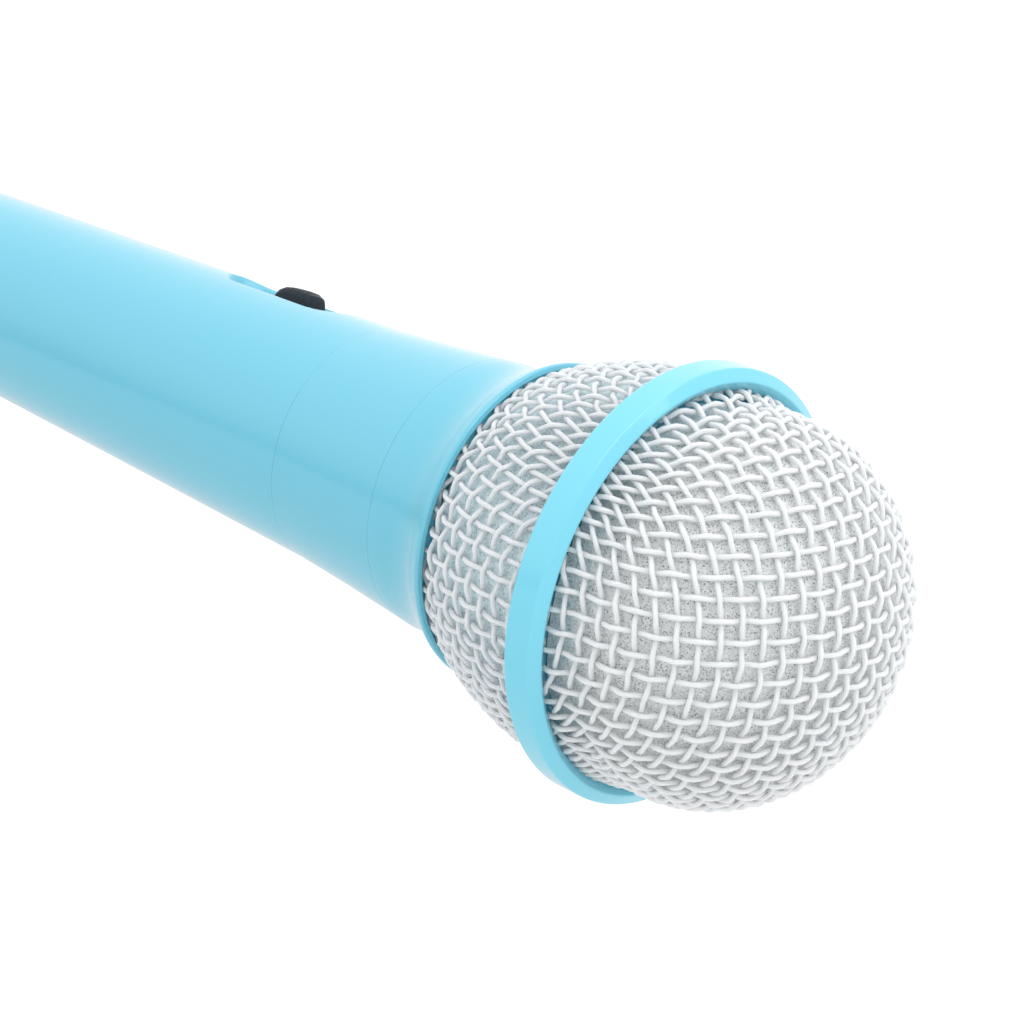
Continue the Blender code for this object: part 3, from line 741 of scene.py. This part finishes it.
def make_capsule():
    """The parts of the capsule that show when the head is off."""
    foot = SHELF_Z + CLEARANCE
    wall = 0.8
    inner = CAPSULE_RADIUS - wall
    opening = 9.4
    outline = [(opening, foot), (CAPSULE_RADIUS, foot, 0.4), (CAPSULE_RADIUS, CAPSULE_TOP, 0.25)]
    outline += [(inner, CAPSULE_TOP, 0.1), (inner, foot + wall), (opening, foot + wall)]
    turned("capsule_can", outline, "capsule_metal", "handle", "capsule_case", segments=MEDIUM_ROUND)

    low = CAPSULE_TOP - 0.9
    high = CAPSULE_TOP - 0.1
    cover = inner - CLEARANCE
    outline = [(0.0, low), (cover, low), (cover, high, 0.2), (0.0, high)]
    grid = turned("capsule_cover", outline, "capsule_metal", "handle", "capsule_front_grid",
                  segments=MEDIUM_ROUND)
    hole = 1.2
    hole_circle = 6.0
    places = [(0.0, 0.0)]
    for step in range(6):
        angle = math.radians(60.0 * step)
        places.append((hole_circle * math.cos(angle), hole_circle * math.sin(angle)))
    cut(grid, [drill_tool(hole, low - 1.0, high + 1.0, (x, y, 0.0)) for x, y in places])

    bore = CAPSULE_RADIUS + 0.15
    sleeve = CAPSULE_BORE - CLEARANCE
    lip = 14.6
    lip_low = SPIGOT_TOP + 0.1
    lip_high = lip_low + 1.3
    outline = [(bore, foot + 0.1), (sleeve, foot + 0.1), (sleeve, lip_low)]
    outline += [(lip, lip_low, 0.4), (lip, lip_high, 0.5), (bore, lip_high, 0.4)]
    turned("capsule_grommet", outline, "black_rubber", "handle", "capsule_rubber_ring",
           segments=MEDIUM_ROUND)


# Grille head

def make_collar():
    """The collar: a low shoulder that flares into a rounded lip."""
    low = COLLAR_Z + HAIRLINE
    bore = SPIGOT_RADIUS + CLEARANCE
    floor = BASKET_FOOT + 0.5
    outline = [(bore, low, 0.1), (COLLAR_FOOT_RADIUS, low, 0.04)]
    outline += [(17.65, 189.3), (17.6, 191.0), (17.75, 192.6), (17.92, 193.5), (18.15, 194.4)]
    outline += [(18.47, 195.3), (18.85, 196.1), (19.3, 196.9), (19.75, 197.6), (20.25, 198.4)]
    outline += [(20.45, 198.95, 0.3), (20.32, 199.25, 0.15), (19.78, 199.46, 0.1)]
    outline += [(19.5, floor, 0.2), (bore, floor, 0.2)]
    turned("collar_shell", outline, "blue_plastic", "grille_head", "grille_collar")


def make_ring():
    """The band round the head, which hides the edges of both meshes."""
    rabbet = BASKET_RADIUS + 0.6
    rabbet_top = RING_REAR_Z + 1.6
    outline = [(rabbet, RING_REAR_Z, 0.1), (RING_RADIUS, RING_REAR_Z, 0.35)]
    outline += [(RING_RADIUS, RING_FRONT_Z, 0.3), (25.55, RING_FRONT_Z + 0.9, 0.3)]
    outline += [(24.9, RING_FRONT_Z + 0.45, 0.3), (RING_INNER, RING_FRONT_Z - 0.15, 0.2)]
    outline += [(RING_INNER, rabbet_top), (rabbet, rabbet_top)]
    # The ring wears the lighter copy of the blue plastic, which paints on the extra light it catches.
    turned("ring_band", outline, "blue_plastic", "grille_head", "grille_ring", segments=200,
           finish="lit_ring_plastic")


def make_seat():
    """The flanged ring behind the edge of the dome."""
    upstand = DOME_RADIUS - MESH_THICK - CLEARANCE
    inner = upstand - SEAT_WALL
    low = RING_REAR_Z - 1.2
    flange = 23.94
    flange_top = low + 1.1
    outline = [(inner, low), (flange, low, 0.1), (flange, flange_top, 0.1)]
    outline += [(upstand, flange_top, 0.1), (upstand, SEAT_TOP, 0.25), (inner, SEAT_TOP, 0.25)]
    turned("seat_band", outline, "blue_plastic", "grille_head", "mesh_seat_ring")


class Bowl:
    """A surface of revolution, reached by the distance walked from its pole along a meridian."""

    def __init__(self, outline):
        self.radii, self.heights = np.array(outline, float).T
        walk = np.hypot(np.diff(self.radii), np.diff(self.heights))
        self.walked = np.concatenate([[0.0], np.cumsum(walk)])

    def points(self, flat):
        """Points on the bowl, for flat places round the pole."""
        distance = np.hypot(flat[..., 0], flat[..., 1])
        angle = np.arctan2(flat[..., 1], flat[..., 0])
        radius = np.interp(distance, self.walked, self.radii)
        height = np.interp(distance, self.walked, self.heights)
        return np.stack([radius * np.cos(angle), radius * np.sin(angle), height], axis=-1)

    def slopes(self, flat):
        """Points on the bowl, and how they move with each flat direction."""
        reach = 1e-4
        here = self.points(flat)
        along = (self.points(flat + np.array([reach, 0.0])) - here) / reach
        across = (self.points(flat + np.array([0.0, reach])) - here) / reach
        return here, along, across


class Cloth:
    """Square-meshed cloth pressed over a bowl.

    Woven wire that is pressed keeps its spacing and shears at the crossings; slip is the
    share in which it stretches evenly instead. nodes holds the flat places, round the
    bowl's pole, of one quarter of a cloth that only shears.
    """

    def __init__(self, bowl, reach, turn, slip):
        self.bowl = bowl
        self.turn = turn
        self.slip = slip
        count = int(reach / CLOTH_STEP) + 1
        edge = np.arange(count) * CLOTH_STEP
        self.nodes = np.full((count, count, 2), np.nan)
        self.nodes[:, 0] = np.stack([edge, np.zeros(count)], axis=-1)
        self.nodes[0, :] = np.stack([np.zeros(count), edge], axis=-1)
        for total in range(2, 2 * count - 1):
            rows = np.arange(max(1, total - count + 1), min(total, count))
            self.nodes[rows, total - rows] = self.press(rows, total - rows)

    def press(self, rows, columns):
        """Places one step away from both neighbours, on the bowl, by Newton's method."""
        left = self.nodes[rows - 1, columns]
        below = self.nodes[rows, columns - 1]
        place = left + below - self.nodes[rows - 1, columns - 1]
        anchors = [self.bowl.points(left), self.bowl.points(below)]
        for _ in range(8):
            here, along, across = self.bowl.slopes(place)
            errors = []
            pulls = []
            for anchor in anchors:
                gap = here - anchor
                errors.append((gap ** 2).sum(-1) - CLOTH_STEP ** 2)
                pulls.append((2.0 * (gap * along).sum(-1), 2.0 * (gap * across).sum(-1)))
            scale = pulls[0][0] * pulls[1][1] - pulls[0][1] * pulls[1][0]
            scale = np.where(np.abs(scale) < 1e-9, np.nan, scale)
            move_x = (-errors[0] * pulls[1][1] + errors[1] * pulls[0][1]) / scale
            move_y = (-errors[1] * pulls[0][0] + errors[0] * pulls[1][0]) / scale
            move = np.stack([move_x, move_y], axis=-1)
            size = np.maximum(np.linalg.norm(move, axis=-1, keepdims=True) / CLOTH_STEP, 1.0)
            place = place + move / size
        return place

    def place(self, cloth_points):
        """Flat places round the pole, for points of the cloth."""
        share = np.abs(cloth_points) / CLOTH_STEP
        cell = np.clip(share.astype(int), 0, len(self.nodes) - 2)
        rest = np.clip(share - cell, 0.0, 1.0)
        row, column = cell[..., 0], cell[..., 1]
        up, over = rest[..., :1], rest[..., 1:]
        low = self.nodes[row, column] * (1.0 - up) + self.nodes[row + 1, column] * up
        high = self.nodes[row, column + 1] * (1.0 - up) + self.nodes[row + 1, column + 1] * up
        sheared = (low * (1.0 - over) + high * over) * np.where(cloth_points < 0.0, -1.0, 1.0)
        flat = sheared * (1.0 - self.slip) + cloth_points * self.slip
        cosine, sine = math.cos(self.turn), math.sin(self.turn)
        turned_x = flat[..., 0] * cosine - flat[..., 1] * sine
        turned_y = flat[..., 0] * sine + flat[..., 1] * cosine
        return np.stack([turned_x, turned_y], axis=-1)

    def surface(self, cloth_points):
        """Points on the bowl and its normals there, for points of the cloth."""
        here, along, across = self.bowl.slopes(self.place(cloth_points))
        normal = np.cross(along, across)
        normal /= np.linalg.norm(normal, axis=-1, keepdims=True) + 1e-12
        return here, normal


def runs(kept):
    """The unbroken runs of True in a row of flags, as (first, last) pairs."""
    edges = np.flatnonzero(np.diff(np.concatenate([[0], kept.astype(int), [0]])))
    return [(first, last - 1) for first, last in zip(edges[::2], edges[1::2])]


def tube(path, normal, radius, random):
    """The points and faces of a wire along a path, with closed ends and an uneven coating."""
    tangent = np.gradient(path, axis=0)
    tangent /= np.linalg.norm(tangent, axis=1, keepdims=True)
    side = np.cross(tangent, normal)
    side /= np.linalg.norm(side, axis=1, keepdims=True)
    up = np.cross(side, tangent)
    angles = (2.0 * math.pi * np.arange(WIRE_SIDES) / WIRE_SIDES)[None, :, None]
    walked = np.arange(len(path)) * WIRE_STEP
    coated = np.full(len(path), radius)
    for length in (2.3, 0.9):
        coated += COATING_LUMPS * np.sin(2.0 * math.pi * (walked / length + random.uniform()))
    spokes = np.cos(angles) * side[:, None] + np.sin(angles) * up[:, None]
    rings = path[:, None] + coated[:, None, None] * spokes
    last = (len(path) - 1) * WIRE_SIDES
    faces = [list(range(WIRE_SIDES))[::-1], list(range(last, last + WIRE_SIDES))]
    faces += strip_faces(len(path), WIRE_SIDES)
    return rings.reshape(-1, 3), faces


def wire_number(family, main, side):
    """The number of the wire at points of the cloth, counted across the wires.

    main runs across the wires and side along them. A family holds the count of wires in a
    span of main, how many they slant by in a span of side, the number at the middle (offset),
    and how far they close in (waist) and curve (bow) a span away from it.
    """
    main = main / SPAN
    side = side / SPAN
    straight = family.offset + family.count * main + family.slant * side
    return straight + family.waist * main * side ** 2 + family.bow * side ** 2


def wire_line(family, index, axis, side, random):
    """The cloth points of one wire, which wanders a little as coated wire does."""
    main = (index - family.offset) * SPAN / family.count * np.ones(len(side))
    for _ in range(8):
        main -= (wire_number(family, main, side) - index) * SPAN / family.count
    for length in (7.0, 3.1):
        main += WANDER * np.sin(2.0 * math.pi * (side / length + random.uniform()))
    line = np.empty((len(side), 2))
    line[:, axis] = main
    line[:, 1 - axis] = side
    return line


def weave(name, node, cloth, families, radius, heights, over, outward, finish):
    """A plain weave of two families of wires on pressed cloth, kept between two heights.

    A wire rides over its neighbours and under them in turn, and the coating joins them where
    they cross. over is the family that rides outside where the two numbers add up to an even
    one. outward is 1 where the cloth's normals point out of the bowl, and -1 where they point in.
    """
    swing = radius - CROSSING_OVERLAP
    random = np.random.default_rng(11)
    reach = CLOTH_STEP * (len(cloth.nodes) - 1)
    side = np.arange(-reach, reach, WIRE_STEP)
    points = []
    faces = []
    for axis, (family, crossed) in enumerate((families, families[::-1])):
        sign = outward * (1.0 if axis == over else -1.0)
        limit = int(family.count * reach / SPAN)
        for index in range(-limit, limit + 1):
            line = wire_line(family, index, axis, side, random)
            inside = np.abs(line).max(axis=1) < reach - CLOTH_STEP
            here, normal = cloth.surface(np.where(inside[:, None], line, 0.0))
            fine = inside & np.isfinite(here).all(axis=1)
            kept = fine & (here[:, 2] > heights[0]) & (here[:, 2] < heights[1])
            crossing = wire_number(crossed, line[:, 1 - axis], line[:, axis])
            wave = sign * swing * np.cos(math.pi * (crossing + index))
            path = here + normal * wave[:, None]
            for first, last in runs(kept):
                if last - first < SHORTEST_WIRE:
                    continue
                part = slice(first, last + 1)
                wire, wire_faces = tube(path[part], normal[part], radius, random)
                faces += [[corner + len(points) for corner in face] for face in wire_faces]
                points += list(wire)
    add_piece(name, points, faces, "white_mesh", "grille_head", node, finish=finish)


def arc(centre_z, radius, rise, start, end, steps):
    """Points of an ellipse's arc round (0, centre_z), between two angles in degrees."""
    angles = np.radians(np.linspace(start, end, steps + 1))
    return [(max(0.0, radius * math.cos(angle)), centre_z + rise * math.sin(angle)) for angle in angles]


def make_dome():
    """The woven dome, whose edge flares into the ring."""
    middle = MESH_THICK / 2.0
    radius = DOME_RADIUS - middle
    outline = arc(DOME_EQUATOR_Z, radius, DOME_RISE - middle, 90.0, 0.0, 400)
    steps = 30
    for step in range(steps + 1):
        share = step / steps
        flare = DOME_FLARE * 0.5 * (1.0 - math.cos(math.pi * share))
        outline.append((radius + flare, FLARE_TOP_Z + (FLARE_FOOT_Z - FLARE_TOP_Z) * share))
    outline += [(radius + DOME_FLARE, RING_REAR_Z - 1.0)]
    cloth = Cloth(Bowl(outline), reach=47.0, turn=math.radians(18.5), slip=0.3)
    families = (Family(count=8.383, slant=-0.421, offset=-0.23, waist=-0.14, bow=0.437),
                Family(count=8.383, slant=-0.086, offset=0.21, waist=-0.313, bow=-0.168))
    weave("dome_weave", "front_dome_mesh", cloth, families, radius=0.32,
          heights=(RING_FRONT_Z - 0.7, DOME_EQUATOR_Z + DOME_RISE), over=0, outward=1.0,
          finish="white_mesh")


def make_rear_basket():
    """The woven bowl between the collar and the ring, on cloth that closes below its foot."""
    middle = MESH_THICK / 2.0
    foot = basket_radius(BASKET_FOOT) - middle
    foot_depth = 2.4
    bottom = BASKET_FOOT - foot_depth
    foot_steps = 60
    wall_steps = 120
    outline = []
    for step in range(foot_steps):
        angle = step / foot_steps * math.pi / 2.0
        height = bottom + foot_depth * (1.0 - math.cos(angle))
        outline.append((foot * math.sin(angle), height))
    top = RING_REAR_Z + 1.2
    for step in range(wall_steps + 1):
        height = BASKET_FOOT + (top - BASKET_FOOT) * step / wall_steps
        drop = (BASKET_CENTRE_Z - height) / (BASKET_DEPTH - middle)
        outline.append(((BASKET_RADIUS - middle) * math.sqrt(1.0 - drop * drop), height))
    cloth = Cloth(Bowl(outline), reach=48.0, turn=math.radians(13.5), slip=0.7)
    families = (Family(count=7.852, slant=-0.334, offset=0.447, waist=-0.205, bow=-0.218),
                Family(count=8.149, slant=-0.218, offset=-0.213, waist=-0.562, bow=0.143))
    # The basket wears the darker copy of the coating, which paints in the shade it lies in.
    weave("basket_weave", "rear_basket_mesh", cloth, families, radius=0.3,
          heights=(BASKET_FOOT + 0.2, RING_REAR_Z + 0.9), over=1, outward=-1.0,
          finish="shaded_basket_coating")


def make_windscreen():
    """The foam behind the dome."""
    inner = DOME_RADIUS - MESH_THICK
    outer = inner - FOAM_CLEARANCE
    rise = DOME_RISE - MESH_THICK - FOAM_CLEARANCE
    narrow = inner - SEAT_WALL - 3.0 * CLEARANCE
    foot = SEAT_TOP - 0.5
    shoulder = SEAT_TOP + CLEARANCE
    outline = [(outer - FOAM_THICK, foot), (narrow, foot), (narrow, shoulder)]
    outline += [(outer - 0.05, shoulder)]
    outline += arc(DOME_EQUATOR_Z, outer, rise, 0.0, 90.0, 90)
    outline += arc(DOME_EQUATOR_Z, outer - FOAM_THICK, rise - FOAM_THICK, 90.0, 0.0, 30)
    windscreen = turned("windscreen", outline, "grey_foam", "grille_head", "front_foam",
                        segments=FINE_ROUND)
    rough_up(windscreen)


def make_lining():
    """The foam behind the rear basket."""
    inset = MESH_THICK + FOAM_CLEARANCE
    low = BASKET_FOOT + 0.55
    high = RING_REAR_Z - 1.25
    outline = [(basket_radius(height) - inset, height) for height in np.linspace(low, high, 41)]
    for height in np.linspace(high, low, 9):
        outline.append((basket_radius(height) - inset - REAR_FOAM_THICK, height))
    # The lining wears the bluer copy of the foam, which paints on the blue light of the plastic round
    # it.
    lining = turned("basket_lining", outline, "grey_foam", "grille_head", "rear_foam",
                    segments=FINE_ROUND, finish="blue_lit_lining_foam")
    rough_up(lining)


def rough_up(piece):
    """Push a foam piece's surface in a little here and there, as cut foam is never quite true."""
    depth = 0.12
    wave_count = 24
    mesh = piece.data
    places = np.zeros(len(mesh.vertices) * 3)
    normals = np.zeros(len(mesh.vertices) * 3)
    mesh.vertices.foreach_get("co", places)
    mesh.vertices.foreach_get("normal", normals)
    places = places.reshape(-1, 3)
    normals = normals.reshape(-1, 3)
    waves = np.zeros(len(places))
    random = np.random.default_rng(7)
    for _ in range(wave_count):
        direction = random.normal(size=3)
        direction /= np.linalg.norm(direction)
        length = random.uniform(0.9, 3.0) * MM
        phase = random.uniform(0.0, 2.0 * math.pi)
        waves += np.sin(places @ direction * 2.0 * math.pi / length + phase)
    places -= normals * (depth * MM * np.clip(0.5 + 2.0 * waves / wave_count, 0.0, 1.0))[:, None]
    mesh.vertices.foreach_set("co", places.ravel())
    mesh.update()


# CAD nodes that keep their shape

def finish_cad_nodes():
    """Give each CAD node that still shows the finish of its slot in the record."""
    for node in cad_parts.values():
        for material_slot in node.material_slots:
            if material_slot.material:
                wanted = material_slot.material.name.split(".")[0]
                material_slot.material = materials.get(wanted, material_slot.material)


# Studio

def make_floor():
    """A pale floor, with painted shade that only reflections show: glossy plastic mirrors it as pale on
    the switch's side, grey on the other.
    """
    material, tree, shader, place = start_material("studio_floor")
    pale = mixed(tree, noise(tree, place, 6.0), (0.93, 0.93, 0.93), (0.95, 0.95, 0.95))
    spot = add_node(tree, "ShaderNodeSeparateXYZ", {0: place})
    ahead = combined(tree, "MAXIMUM", spot.outputs[0], 0.0)
    lean = combined(tree, "MULTIPLY", ahead, PAINTED_REFLECTION_SLANT)
    across = combined(tree, "SUBTRACT", spot.outputs[1], lean)
    low, high = PAINTED_REFLECTION_SPAN
    ramp = add_node(tree, "ShaderNodeValToRGB", {0: mapped(tree, across, 0.0, 1.0, low, high)})
    stops = ramp.color_ramp.elements
    while len(stops) < len(PAINTED_REFLECTION_GREYS):
        stops.new(1.0)
    for stop, (distance, grey) in zip(stops, PAINTED_REFLECTION_GREYS):
        stop.position = (distance - low) / (high - low)
        stop.color = (grey, grey, grey, 1.0)
    # Painted reflection: glossy rays see the grey ramp instead of the pale floor, which darkens the
    # plastic's lower side.
    mirrored = add_node(tree, "ShaderNodeLightPath", {}).outputs["Is Glossy Ray"]
    feed(tree, shader, {
        "Base Color": mixed(tree, mirrored, pale, ramp.outputs[0]),
        "Roughness": 0.9,
    })
    corners = [(x, y, 0.0) for y in (-FLOOR_HALF, FLOOR_HALF) for x in (-FLOOR_HALF, FLOOR_HALF)]
    mesh = bpy.data.meshes.new("floor")
    mesh.from_pydata(corners, [], [(0, 1, 3, 2)])
    mesh.materials.append(material)
    add_object("floor", mesh)


def make_lights():
    """White surroundings, and one large softbox on the switch's side."""
    world = bpy.data.worlds.new("studio")
    world.use_nodes = True
    background = world.node_tree.nodes["Background"]
    background.inputs["Color"].default_value = (1.0, 1.0, 1.0, 1.0)
    background.inputs["Strength"].default_value = WORLD_STRENGTH
    bpy.context.scene.world = world
    bpy.context.scene.view_settings.view_transform = "Standard"
    light = bpy.data.lights.new("key", "AREA")
    light.shape = "SQUARE"
    light.size = KEY_SIZE
    light.energy = KEY_POWER
    lamp = add_object("key", light)
    lamp.location = KEY_PLACE
    facing = Vector(LIGHT_AIM) - Vector(KEY_PLACE)
    lamp.rotation_euler = facing.to_track_quat("-Z", "Y").to_euler()


def make_camera():
    """The camera, in front of the head and above it, rolled so that the handle lies aslant."""
    camera = bpy.data.cameras.new("camera")
    camera.sensor_width = 36.0
    camera.lens = 105.5
    camera.shift_x = -0.002
    camera.shift_y = 0.003
    camera.clip_start = 0.01
    camera.clip_end = 20.0
    sideways = math.sin(CAMERA_LEAN)
    away = Vector((sideways * math.cos(CAMERA_AZIMUTH), sideways * math.sin(CAMERA_AZIMUTH),
                   math.cos(CAMERA_LEAN)))
    place = (Vector((0.0, 0.0, RING_FRONT_Z)) + away * CAMERA_DISTANCE) * MM
    aim = Vector((0.0, 0.0, CAMERA_AIM_Z)) * MM
    roll = Quaternion((0.0, 0.0, 1.0), CAMERA_ROLL)
    holder = add_object("camera", camera)
    holder.location = place
    holder.rotation_mode = "QUATERNION"
    holder.rotation_quaternion = (aim - place).to_track_quat("-Z", "Y") @ roll
    bpy.context.scene.camera = holder


make_camera()
make_floor()
make_lights()
make_barrel()
make_neck()
make_thread()
make_tail()
make_knob()
make_screws()
make_capsule()
make_collar()
make_ring()
make_seat()
make_dome()
make_rear_basket()
make_windscreen()
make_lining()
finish_cad_nodes()
